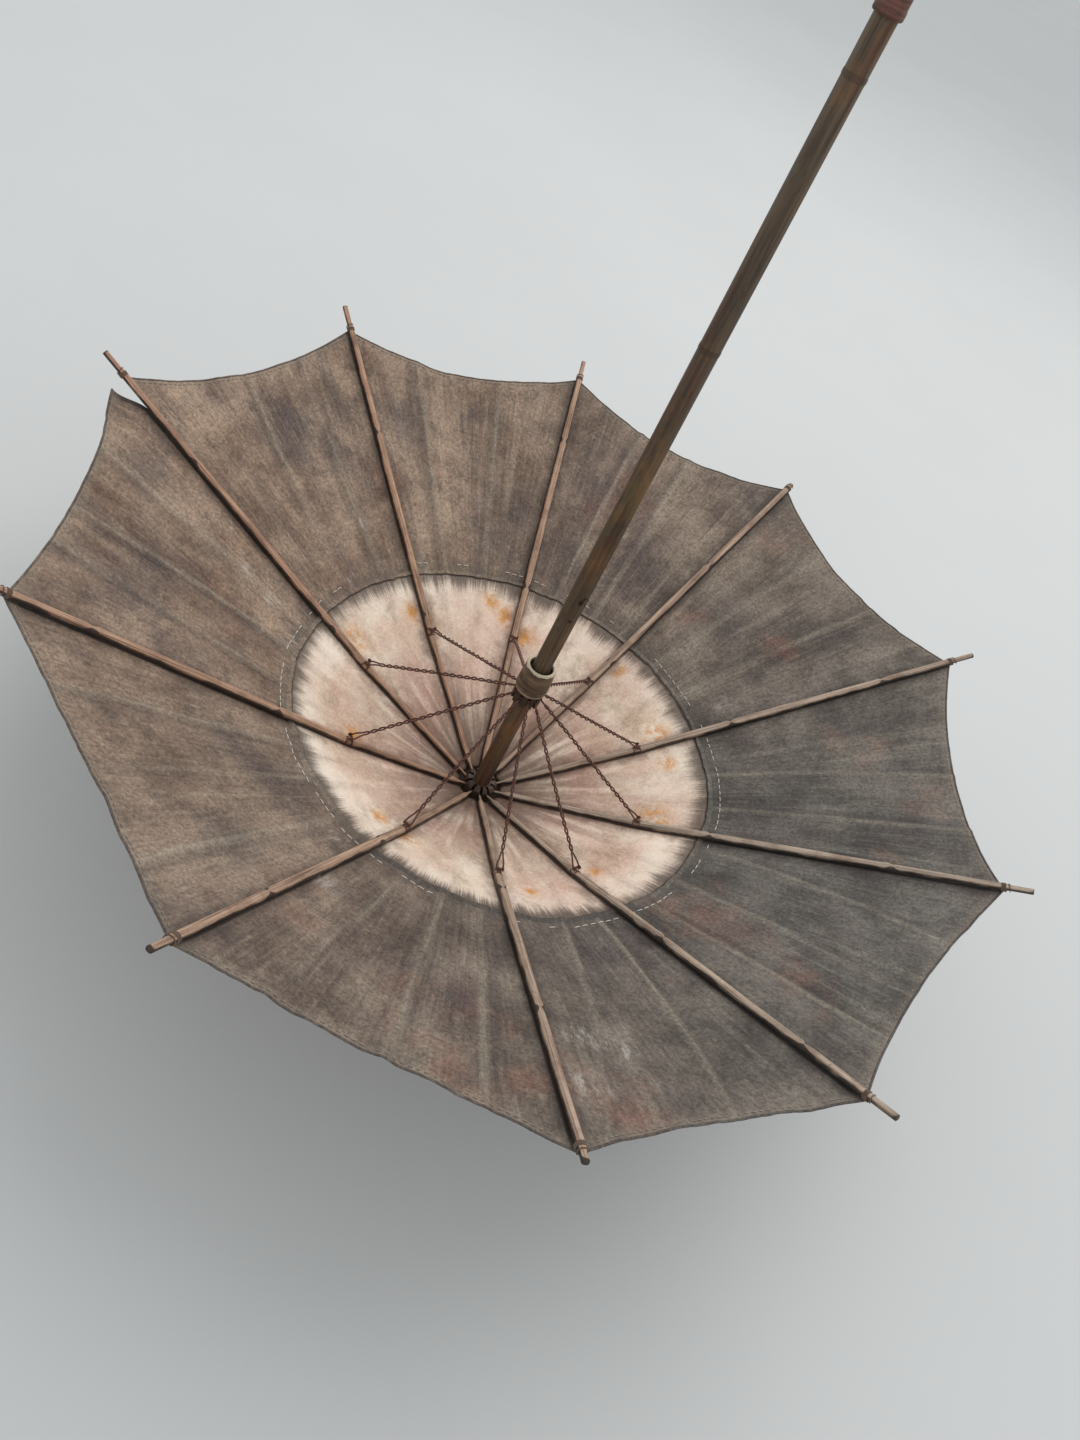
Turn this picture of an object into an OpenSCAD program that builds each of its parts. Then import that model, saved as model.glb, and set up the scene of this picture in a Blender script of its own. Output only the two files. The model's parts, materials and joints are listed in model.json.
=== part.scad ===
// Open ribbed umbrella standing crown down, with its handle up.
// Z = 0 is the flat end of the crown tip, and the pole runs along +Z.
// Rib 1 points along +X; the others follow clockwise, seen from the handle.

/* [Ribs] */
// distance from the pole's axis to a rib's tip
tip_radius = 480; // [300:5:700]
// height of the rib tips above the crown ring
tip_height = 248; // [150:1:400]
// half width of a rib outside its bend
rib_half_width = 4; // [2.5:0.1:6]
// half width of a rib between the crown and its bend
rib_inner_half_width = 3; // [2:0.1:4]
// depth from a rib's centre line to its flat cloth side
rib_flat_depth = 2.2; // [1:0.1:4]
// width of the tongue that sits in the crown
tongue_width = 2.4; // [1.5:0.1:3]

/* [Linkage] */
// radius of the two ring wires that the linkage hinges on
ring_radius = 13; // [12:0.5:20]
// distance from the pole's axis to a stretcher's pin
pin_radius = 155.5; // [80:0.5:250]
// height of that pin above the crown ring
pin_height = 74; // [40:1:120]
// height of that pin above its rib's centre line
pin_lift = 6.3; // [5:0.1:10]
// radius of the pins and ring wires
wire_radius = 0.8; // [0.5:0.1:1.5]
// radius of a stretcher's twisted shank
shank_radius = 1.5; // [1:0.1:3]
// length of the fork at a stretcher's outer end
fork_length = 9; // [6:0.5:20]

/* [Pole and handle] */
// radius of the pole where the runner slides
pole_radius = 8.7; // [6:0.1:15]
// radius of the pole at the handle
pole_top_radius = 8.1; // [6:0.1:15]
// height of the crown ring above the end of the tip
crown_height = 45; // [35:1:80]
// height where the handle starts
handle_height = 789; // [600:1:1000]
// length of the handle
handle_length = 105; // [60:1:160]
// radius of the handle's grip
grip_radius = 9.7; // [9:0.1:16]

/* [Runner] */
// height of the runner's rim above its ring wire
rim_height = 37; // [20:1:60]
// largest radius of the runner
runner_radius = 16; // [15:0.5:24]
// radial gap between the runner and the pole
runner_gap = 0.1; // [0.02:0.01:0.3]

/* [Cloth] */
// thickness of the cloth solids
cloth_thickness = 0.6; // [0.3:0.1:2]
// radius of the seam between the crown patch and the canopy
seam_radius = 214; // [150:1:300]
// radius where the canopy's corners meet the ribs
hem_radius = 460; // [250:1:600]
// how far the middle of a hem hangs below its corners
hem_sag = 16; // [0:1:60]
// how far the middle of a hem curves in towards the pole
hem_scallop = 8; // [0:1:60]

/* [Hidden] */
rib_count = 10;
// hand-made spacing: degrees added to each rib's even angle
rib_shift = [0, 0, -0.5, -1, -1, 0.5, 2.5, -4.5, -6, -2.5];
// hand-made lengths: millimetres added to each rib's tip radius and hem corner radius
tip_shift = [0, 0, -3, -9, 8, -3, 0, 0, -4, -4];
hem_shift = [2, 0, -1, 7, 8, -2, 0, 11, -2, -10];

running_gap = 0.06;
ring_bore_gap = 0.12;
fixed_gap = 0.05;

// the rib, the stretcher and the pole make a triangle with two equal arms
arm = norm([pin_radius - ring_radius, pin_height]);
runner_ring_height = crown_height + 2 * pin_height;
stretcher_slope = atan2(pin_height, pin_radius - ring_radius);

// each rib is two straight bars that meet under the stretcher's pin
inner_slope = stretcher_slope - asin(pin_lift / arm);
inner_length = sqrt(arm * arm - pin_lift * pin_lift);
bend_radius = ring_radius + inner_length * cos(inner_slope);
bend_height = inner_length * sin(inner_slope);
outer_slope = atan2(tip_height - bend_height, tip_radius - bend_radius);

pole_low = 18;
taper_start = 420;
socket_depth = 22;

// radius of the pole at a height above the taper's start
function pole_line(height) =
    pole_radius + (pole_top_radius - pole_radius)
        * (height - taper_start) / (handle_height - taper_start);

tongue_length = 18;
bar_start = 14;
lug_width = 2.6;
fork_spread = 2.9;
slot_width = 3.2;

washer_radius = 34;
patch_start = 24;
seam_overlap = 8;
patch_depth = rib_flat_depth + 0.8;
canopy_depth = patch_depth + cloth_thickness + 0.3;
edge_gap = 0.3;
cloth_columns = 6;
canopy_rows = 9;
patch_inner_rows = 4;
patch_outer_rows = 2;

// the catch sits in a slot on one side of the pole, just above the open runner
catch_angle = 169;
catch_low = 236;
catch_high = 320;

// angle of a rib, clockwise from +X
function rib_angle(i) = -(i - 1) * 360 / rib_count - rib_shift[i - 1];
function next_angle(i) = i == rib_count ? rib_angle(1) - 360 : rib_angle(i + 1);
function middle_angle(i) = (rib_angle(i) + next_angle(i)) / 2;
function half_angle(i) = (rib_angle(i) - next_angle(i)) / 2;

// length of a rib's outer bar, from its bend to its tip
function outer_length(i) = (tip_radius + tip_shift[i - 1] - bend_radius) / cos(outer_slope);

// height of a rib's centre line at a distance from the pole's axis
function rib_line(r) =
    r < bend_radius
        ? crown_height + (r - ring_radius) * tan(inner_slope)
        : crown_height + bend_height + (r - bend_radius) * tan(outer_slope);

// how far out along the canopy a point is, from 0 at the seam to 1 at the hem
function share_out(r) = max(0, (r - seam_radius) / (hem_radius - seam_radius));

// one point of the cloth between two ribs; side runs from -1 to 1 across the gap
function cloth_point(r, side, spread, depth) =
    let (bow = 1 - side * side)
    let (pull_in = hem_scallop * bow * pow(share_out(r), 4))
    let (sag = hem_sag * bow * pow(r / hem_radius, 1.5))
    [
        r * cos(spread) - pull_in,
        side * (r * sin(spread) - edge_gap),
        rib_line(r) - depth / cos(outer_slope) - sag - pull_in * tan(outer_slope)
    ];

// how much further out a circle round the pole is than the straight line between its two ribs
function arc_share(side, spread) = 1 / norm([cos(spread), side * sin(spread)]);

// radius of panel i's hem, between its corner at the next rib and its corner at rib i
function hem_line(i, side) =
    hem_radius
        + hem_shift[i - 1] * (1 + side) / 2
        + hem_shift[i % rib_count] * (1 - side) / 2;

// thin solid of cloth between two ribs; row_radius(j, side) is a function literal
module cloth(row_radius, rows, spread, depth) {
    columns = cloth_columns;
    layer = (rows + 1) * (columns + 1);
    sides = [for (k = [0:columns]) 2 * k / columns - 1];
    upper = [
        for (j = [0:rows])
            for (side = sides)
                cloth_point(row_radius(j, side), side, spread, depth)
    ];
    lower = [for (point = upper) point - [0, 0, cloth_thickness]];
    function at(j, k) = j * (columns + 1) + k;
    top_faces = [
        for (j = [0:rows - 1])
            for (k = [0:columns - 1])
                for (face = [
                    [at(j, k), at(j + 1, k + 1), at(j + 1, k)],
                    [at(j, k), at(j, k + 1), at(j + 1, k + 1)]
                ]) face
    ];
    bottom_faces = [for (face = top_faces) [face[2] + layer, face[1] + layer, face[0] + layer]];
    rim = concat(
        [for (j = [0:rows - 1]) at(j, 0)],
        [for (k = [0:columns - 1]) at(rows, k)],
        [for (j = [rows:-1:1]) at(j, columns)],
        [for (k = [columns:-1:1]) at(0, k)]
    );
    rim_faces = [
        for (n = [0:len(rim) - 1])
            let (a = rim[n])
            let (b = rim[(n + 1) % len(rim)])
            for (face = [[a, b, b + layer], [a, b + layer, a + layer]]) face
    ];
    polyhedron(
        points = concat(upper, lower),
        faces = concat(top_faces, bottom_faces, rim_faces),
        convexity = 6
    );
}

// from the round seam under the crown patch to the hem
module canopy_panel(i) {
    spread = half_angle(i);
    start = seam_radius - seam_overlap;
    row_radius = function(j, side)
        let (low = start * arc_share(side, spread))
        low + (hem_line(i, side) - low) * j / canopy_rows;
    rotate([0, 0, middle_angle(i)])
        cloth(row_radius, canopy_rows, spread, canopy_depth);
}

// from the crown to the round seam, with one row of points at the ribs' bends
module crown_patch(i) {
    spread = half_angle(i);
    row_radius = function(j, side)
        j <= patch_inner_rows
            ? patch_start + (bend_radius - patch_start) * j / patch_inner_rows
            : bend_radius
                + (seam_radius * arc_share(side, spread) - bend_radius)
                    * (j - patch_inner_rows) / patch_outer_rows;
    rotate([0, 0, middle_angle(i)])
        cloth(row_radius, patch_inner_rows + patch_outer_rows, spread, patch_depth);
}

// bar along +X: round on its upper side, flat on the cloth side
module split_bar(half_width, length) {
    rotate([0, 90, 0])
        linear_extrude(length)
            intersection() {
                circle(r = half_width, $fn = 32);
                translate([-half_width, -half_width])
                    square([half_width + rib_flat_depth, 2 * half_width]);
            }
}

// cylinder along Y, centred on the origin
module cross_cylinder(radius, width) {
    rotate([90, 0, 0])
        cylinder(r = radius, h = width, center = true, $fn = 24);
}

module rib(i) {
    rotate([0, 0, rib_angle(i)])
        translate([ring_radius, 0, crown_height])
            rotate([0, -inner_slope, 0])
                difference() {
                    union() {
                        cross_cylinder(2.8, tongue_width);
                        translate([0, -tongue_width / 2, -rib_flat_depth])
                            cube([tongue_length, tongue_width, 2 * rib_flat_depth]);
                        translate([bar_start, 0, 0])
                            split_bar(rib_inner_half_width, inner_length - bar_start + 2);
                        translate([inner_length - 4, -lug_width / 2, 0])
                            cube([8, lug_width, pin_lift]);
                        translate([inner_length, 0, pin_lift])
                            cross_cylinder(2.2, lug_width);
                        translate([inner_length, 0, 0])
                            rotate([0, inner_slope - outer_slope, 0])
                                outer_bar(outer_length(i));
                    }
                    cross_cylinder(wire_radius + ring_bore_gap, 3 * tongue_width);
                    translate([inner_length, 0, pin_lift])
                        cross_cylinder(wire_radius + running_gap, 3 * lug_width);
                }
}

// outer bar of a rib, with two bamboo nodes
module outer_bar(length) {
    split_bar(rib_half_width, length);
    for (share = [0.22, 0.7])
        translate([share * length, 0, 0])
            split_bar(rib_half_width + 0.5, 4);
}

// straight round wire between two points of the XY plane
module flat_wire(a, b, radius) {
    translate([a[0], a[1], 0])
        rotate([0, 0, atan2(b[1] - a[1], b[0] - a[0])])
            rotate([0, 90, 0])
                cylinder(r = radius, h = norm(b - a), $fn = 16);
}

module stretcher(i) {
    rotate([0, 0, rib_angle(i)])
        translate([ring_radius, 0, runner_ring_height])
            rotate([0, stretcher_slope, 0])
                difference() {
                    union() {
                        cross_cylinder(2.1, 2.2);
                        flat_wire([0, 0], [arm - fork_length + 1, 0], shank_radius);
                        for (side = [-1, 1]) {
                            flat_wire([arm - fork_length, 0.6 * side], [arm, fork_spread * side], wire_radius);
                            translate([arm, fork_spread * side, 0])
                                sphere(r = wire_radius, $fn = 16);
                        }
                        translate([arm, 0, 0])
                            cross_cylinder(wire_radius, 2 * fork_spread);
                    }
                    cross_cylinder(wire_radius + ring_bore_gap, 6);
                }
}

// ring of wire around the pole
module wire_ring(height, radius) {
    translate([0, 0, height])
        rotate_extrude($fn = 80)
            translate([ring_radius, 0])
                circle(r = radius, $fn = 16);
}

// slots for the linkage, one at each rib, around a ring wire
module ring_slots(height, low, high, inner_radius) {
    for (i = [1:rib_count])
        rotate([0, 0, rib_angle(i)])
            translate([inner_radius, -slot_width / 2, height + low])
                cube([12, slot_width, high - low]);
}

module pole() {
    color("#5c5040")
    difference() {
        union() {
            translate([0, 0, pole_low])
                cylinder(r = pole_radius, h = taper_start - pole_low, $fn = 64);
            translate([0, 0, taper_start])
                cylinder(
                    r1 = pole_radius,
                    r2 = pole_top_radius,
                    h = handle_height - taper_start,
                    $fn = 64
                );
            translate([0, 0, handle_height])
                cylinder(r = pole_top_radius, h = socket_depth, $fn = 64);
            for (height = [566, 754])
                translate([0, 0, height])
                    cylinder(r = pole_line(height) + 0.3, h = 3, $fn = 64);
        }
        catch_slot();
        catch_pin_hole();
    }
}

// slot in the pole above the open runner
module catch_slot() {
    rotate([0, 0, catch_angle])
        translate([3.5, -1.2, catch_low - 2])
            cube([10, 2.4, catch_high - catch_low + 6]);
}

module catch_pin_hole() {
    rotate([0, 0, catch_angle])
        translate([6, 0, catch_high])
            cross_cylinder(wire_radius + fixed_gap, 30);
}

module catch_leaf() {
    color("#6d6a66")
    rotate([0, 0, catch_angle])
        difference() {
            translate([0, 0.8, 0])
                rotate([90, 0, 0])
                    linear_extrude(1.6)
                        polygon([
                            [4.4, catch_high + 1.6],
                            [7.6, catch_high + 1.6],
                            [8.6, catch_high - 10],
                            [8.6, catch_low],
                            [7.0, catch_low],
                            [4.4, catch_high - 10]
                        ]);
            translate([6, 0, catch_high])
                cross_cylinder(wire_radius + running_gap, 10);
        }
}

module catch_pin() {
    color("#4a4744")
    rotate([0, 0, catch_angle])
        translate([6, 0, catch_high])
            cross_cylinder(wire_radius, 10);
}

module crown_hub() {
    color("#6b4f3a")
    difference() {
        translate([0, 0, crown_height])
            rotate_extrude($fn = 80)
                polygon([
                    [pole_radius + fixed_gap, -10],
                    [15, -10],
                    [17, -7],
                    [17, 7],
                    [14.5, 10],
                    [pole_radius + fixed_gap, 10]
                ]);
        ring_slots(crown_height, -3.6, 12, 10);
        wire_ring(crown_height, wire_radius + fixed_gap);
    }
}

module hub_ring_wire() {
    color("#4b3130")
    wire_ring(crown_height, wire_radius);
}

module crown_washer() {
    color("#4a4038")
    translate([0, 0, crown_height])
        rotate_extrude($fn = 80)
            polygon([
                [pole_radius + fixed_gap, -10.2],
                [17.5, -10.2],
                [washer_radius, 1.2],
                [washer_radius, 0],
                [17.8, -11.6],
                [pole_radius + fixed_gap, -11.6]
            ]);
}

module crown_tip() {
    color("#5b3a2e")
    difference() {
        rotate_extrude($fn = 64)
            polygon([
                [0, 0],
                [7, 0],
                [8.5, 2],
                [9, 8],
                [11.5, 14],
                [12.5, 20],
                [14, 26],
                [14, crown_height - 11.8],
                [0, crown_height - 11.8]
            ]);
        translate([0, 0, pole_low - fixed_gap])
            cylinder(r = pole_radius + fixed_gap, h = 40, $fn = 64);
    }
}

module handle_grip() {
    color("#5f4139")
    difference() {
        translate([0, 0, handle_height])
            rotate_extrude($fn = 64)
                polygon([
                    [0, 0],
                    [grip_radius, 0],
                    [grip_radius + 0.5, 1],
                    [grip_radius + 0.5, 5],
                    [grip_radius, 6.5],
                    [grip_radius, handle_length - 4],
                    [grip_radius - 0.8, handle_length - 1.5],
                    [grip_radius - 2.6, handle_length],
                    [0, handle_length]
                ]);
        translate([0, 0, handle_height - 1])
            cylinder(r = pole_top_radius + fixed_gap, h = socket_depth + 1 + fixed_gap, $fn = 64);
    }
}

module runner_collar() {
    color("#8a7358")
    difference() {
        translate([0, 0, runner_ring_height])
            rotate_extrude($fn = 80)
                polygon([
                    [pole_radius + runner_gap, -9],
                    [14.4, -9],
                    [14.4, 6],
                    [15.2, 7],
                    [runner_radius, 9.5],
                    [runner_radius, 14],
                    [15.6, 24],
                    [14.9, 31],
                    [14.9, 35.5],
                    [14, rim_height],
                    [12, rim_height],
                    [11.4, rim_height - 2],
                    [11.2, rim_height - 7],
                    [pole_radius + runner_gap, rim_height - 11]
                ]);
        ring_slots(runner_ring_height, -12, 5, 10.7);
        wire_ring(runner_ring_height, wire_radius + fixed_gap);
    }
}

module runner_ring_wire() {
    color("#4b3130")
    wire_ring(runner_ring_height, wire_radius);
}

module rib_1() {
    color("#a0826e")
        rib(1);
}

module rib_2() {
    color("#a0826e")
        rib(2);
}

module rib_3() {
    color("#a0826e")
        rib(3);
}

module rib_4() {
    color("#a0826e")
        rib(4);
}

module rib_5() {
    color("#a0826e")
        rib(5);
}

module rib_6() {
    color("#a0826e")
        rib(6);
}

module rib_7() {
    color("#a0826e")
        rib(7);
}

module rib_8() {
    color("#a0826e")
        rib(8);
}

module rib_9() {
    color("#a0826e")
        rib(9);
}

module rib_10() {
    color("#a0826e")
        rib(10);
}

module stretcher_1() {
    color("#4b3232")
        stretcher(1);
}

module stretcher_2() {
    color("#4b3232")
        stretcher(2);
}

module stretcher_3() {
    color("#4b3232")
        stretcher(3);
}

module stretcher_4() {
    color("#4b3232")
        stretcher(4);
}

module stretcher_5() {
    color("#4b3232")
        stretcher(5);
}

module stretcher_6() {
    color("#4b3232")
        stretcher(6);
}

module stretcher_7() {
    color("#4b3232")
        stretcher(7);
}

module stretcher_8() {
    color("#4b3232")
        stretcher(8);
}

module stretcher_9() {
    color("#4b3232")
        stretcher(9);
}

module stretcher_10() {
    color("#4b3232")
        stretcher(10);
}

module canopy_panel_1() {
    color("#6a5f52")
        canopy_panel(1);
}

module canopy_panel_2() {
    color("#6a5f52")
        canopy_panel(2);
}

module canopy_panel_3() {
    color("#6a5f52")
        canopy_panel(3);
}

module canopy_panel_4() {
    color("#6a5f52")
        canopy_panel(4);
}

module canopy_panel_5() {
    color("#6a5f52")
        canopy_panel(5);
}

module canopy_panel_6() {
    color("#6a5f52")
        canopy_panel(6);
}

module canopy_panel_7() {
    color("#6a5f52")
        canopy_panel(7);
}

module canopy_panel_8() {
    color("#6a5f52")
        canopy_panel(8);
}

module canopy_panel_9() {
    color("#6a5f52")
        canopy_panel(9);
}

module canopy_panel_10() {
    color("#6a5f52")
        canopy_panel(10);
}

module crown_patch_1() {
    color("#d7c3b4")
        crown_patch(1);
}

module crown_patch_2() {
    color("#d7c3b4")
        crown_patch(2);
}

module crown_patch_3() {
    color("#d7c3b4")
        crown_patch(3);
}

module crown_patch_4() {
    color("#d7c3b4")
        crown_patch(4);
}

module crown_patch_5() {
    color("#d7c3b4")
        crown_patch(5);
}

module crown_patch_6() {
    color("#d7c3b4")
        crown_patch(6);
}

module crown_patch_7() {
    color("#d7c3b4")
        crown_patch(7);
}

module crown_patch_8() {
    color("#d7c3b4")
        crown_patch(8);
}

module crown_patch_9() {
    color("#d7c3b4")
        crown_patch(9);
}

module crown_patch_10() {
    color("#d7c3b4")
        crown_patch(10);
}

pole();
handle_grip();
crown_hub();
hub_ring_wire();
crown_washer();
crown_tip();
catch_leaf();
catch_pin();
runner_collar();
runner_ring_wire();
rib_1();
rib_2();
rib_3();
rib_4();
rib_5();
rib_6();
rib_7();
rib_8();
rib_9();
rib_10();
stretcher_1();
stretcher_2();
stretcher_3();
stretcher_4();
stretcher_5();
stretcher_6();
stretcher_7();
stretcher_8();
stretcher_9();
stretcher_10();
canopy_panel_1();
canopy_panel_2();
canopy_panel_3();
canopy_panel_4();
canopy_panel_5();
canopy_panel_6();
canopy_panel_7();
canopy_panel_8();
canopy_panel_9();
canopy_panel_10();
crown_patch_1();
crown_patch_2();
crown_patch_3();
crown_patch_4();
crown_patch_5();
crown_patch_6();
crown_patch_7();
crown_patch_8();
crown_patch_9();
crown_patch_10();
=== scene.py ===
import json
import math

import bpy
from mathutils import Matrix, Vector, noise


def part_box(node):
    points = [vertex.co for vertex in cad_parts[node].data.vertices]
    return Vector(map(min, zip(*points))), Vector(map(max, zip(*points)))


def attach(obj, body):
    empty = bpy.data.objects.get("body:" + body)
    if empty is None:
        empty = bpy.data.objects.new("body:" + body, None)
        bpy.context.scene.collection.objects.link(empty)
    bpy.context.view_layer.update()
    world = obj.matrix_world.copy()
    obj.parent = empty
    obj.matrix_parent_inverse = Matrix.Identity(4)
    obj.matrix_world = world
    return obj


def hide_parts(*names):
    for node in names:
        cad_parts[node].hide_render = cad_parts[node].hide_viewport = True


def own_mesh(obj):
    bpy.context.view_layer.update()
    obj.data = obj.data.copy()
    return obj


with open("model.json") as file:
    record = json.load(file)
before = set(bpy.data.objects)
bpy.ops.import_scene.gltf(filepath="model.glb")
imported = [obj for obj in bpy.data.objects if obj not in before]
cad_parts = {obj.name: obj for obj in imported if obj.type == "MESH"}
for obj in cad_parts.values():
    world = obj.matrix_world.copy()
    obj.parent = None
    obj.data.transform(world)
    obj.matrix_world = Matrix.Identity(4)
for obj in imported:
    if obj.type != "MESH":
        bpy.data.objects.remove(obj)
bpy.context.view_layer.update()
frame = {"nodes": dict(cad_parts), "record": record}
joints = {j["name"]: j for j in frame["record"]["behaviour"]["joints"]}

# ---------------------------------------------------------------- sizes, in metres
RIBS = 10
MM = 0.001
pole_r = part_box("pole")[1].y
crown_z = joints["fold"]["pos_m"][2]
ring_r = math.hypot(*joints["fold"]["pos_m"][:2])
pin_r = math.hypot(*joints["stretcher_1_turn"]["pos_m"][:2])
pin_z = joints["stretcher_1_turn"]["pos_m"][2]
runner_z = joints["runner_turn"]["pos_m"][2]
# a rib's tip, and its stretcher's pin above the rib's centre line
TIP_R = 0.480
TIP_Z = crown_z + 0.248
PIN_LIFT = 0.0063
# the rib's centre line to its flat underside
FLAT_DEPTH = 0.0022
# the patch's seam and the canopy's hem, and how far the cloth sags and its hem curves in
SEAM_R = 0.214
HEM_R = 0.460
SAG = 0.016
SCALLOP = 0.008
# the cloth's upper face below the rib's centre line
PATCH_DEPTH = FLAT_DEPTH + 0.0008
CANOPY_DEPTH = PATCH_DEPTH + 0.0009

arm = math.hypot(pin_r - ring_r, pin_z - crown_z)
stretcher_slope = math.atan2(pin_z - crown_z, pin_r - ring_r)
inner_slope = stretcher_slope - math.asin(PIN_LIFT / arm)
inner_length = math.sqrt(arm * arm - PIN_LIFT * PIN_LIFT)
bend_r = ring_r + inner_length * math.cos(inner_slope)
bend_z = crown_z + inner_length * math.sin(inner_slope)
outer_slope = math.atan2(TIP_Z - bend_z, TIP_R - bend_r)

# how far each rib's tip and hem corner are from the common radius
TIP_SHIFT = [s * MM for s in (0, 0, -3, -9, 8, -3, 0, 0, -4, -4)]
HEM_SHIFT = [s * MM for s in (2, 0, -1, 7, 8, -2, 0, 11, -2, -10)]


def rib_joint(i):
    return "fold" if i == 1 else f"rib_{i}_fold"


def rib_angle(i):
    """Angle of rib i, clockwise from +X, in radians."""
    x, y, _ = joints[rib_joint(i)]["pos_m"]
    angle = math.atan2(y, x)
    return angle if angle <= 1e-4 else angle - 2 * math.pi


def next_angle(i):
    return rib_angle(1) - 2 * math.pi if i == RIBS else rib_angle(i + 1)


def rib_line(r):
    """Height of a rib's centre line at a distance from the pole's axis."""
    if r < bend_r:
        return crown_z + (r - ring_r) * math.tan(inner_slope)
    return bend_z + (r - bend_r) * math.tan(outer_slope)


def smooth(low, high, x):
    t = min(1.0, max(0.0, (x - low) / (high - low)))
    return t * t * (3 - 2 * t)


def wobble(*xyz):
    """Smooth noise from -1 to 1, the same on every run."""
    return noise.noise(Vector(xyz))


# ---------------------------------------------------------------- mesh helpers
def make_object(name, verts, faces, material, smooth_shade=True):
    """A mesh object with one material, linked into the scene."""
    mesh = bpy.data.meshes.new(name)
    mesh.from_pydata([tuple(v) for v in verts], [], faces)
    mesh.update()
    obj = bpy.data.objects.new(name, mesh)
    bpy.context.scene.collection.objects.link(obj)
    mesh.materials.append(material)
    if smooth_shade:
        for polygon in mesh.polygons:
            polygon.use_smooth = True
    return obj


def store(obj, name, kind, values):
    """Stores one value for each point, for the materials to read."""
    attribute = obj.data.attributes.new(name, kind, "POINT")
    if kind == "FLOAT_VECTOR":
        attribute.data.foreach_set("vector", [c for v in values for c in v])
    else:
        attribute.data.foreach_set("value", values)


def add_sweep(verts, faces, path, section_at, closed=False):
    """Adds a tube along path. section_at(k) gives the section's points as (side, up) pairs."""
    count = len(path)
    base = len(verts)
    tangents = []
    for k in range(count):
        a = path[(k - 1) % count] if closed or k > 0 else path[k]
        b = path[(k + 1) % count] if closed or k < count - 1 else path[k]
        tangents.append((b - a).normalized())
    up = Vector((0, 0, 1)) if abs(tangents[0].z) < 0.9 else Vector((1, 0, 0))
    sides = 0
    for k in range(count):
        tangent = tangents[k]
        side = tangent.cross(up).normalized()
        up = side.cross(tangent).normalized()
        section = section_at(k)
        sides = len(section)
        for a, b in section:
            verts.append(path[k] + side * a + up * b)
    rings = count if closed else count - 1
    for k in range(rings):
        for j in range(sides):
            a = base + k * sides + j
            b = base + k * sides + (j + 1) % sides
            c = base + ((k + 1) % count) * sides + (j + 1) % sides
            d = base + ((k + 1) % count) * sides + j
            faces.append((a, b, c, d))
    if not closed:
        faces.append(tuple(base + j for j in reversed(range(sides))))
        faces.append(tuple(base + (count - 1) * sides + j for j in range(sides)))


def round_section(radius, sides=8):
    return [
        (radius * math.cos(2 * math.pi * j / sides), radius * math.sin(2 * math.pi * j / sides))
        for j in range(sides)
    ]


def add_tube(verts, faces, path, radius, sides=8, closed=False):
    section = round_section(radius, sides)
    add_sweep(verts, faces, path, lambda k: section, closed)


# ---------------------------------------------------------------- material helpers
def linear(red, green, blue):
    """Display colour from 0 to 255 as scene-linear RGBA."""
    out = []
    for c in (red, green, blue):
        c /= 255
        out.append(c / 12.92 if c <= 0.04045 else ((c + 0.055) / 1.055) ** 2.4)
    return (*out, 1)


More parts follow.
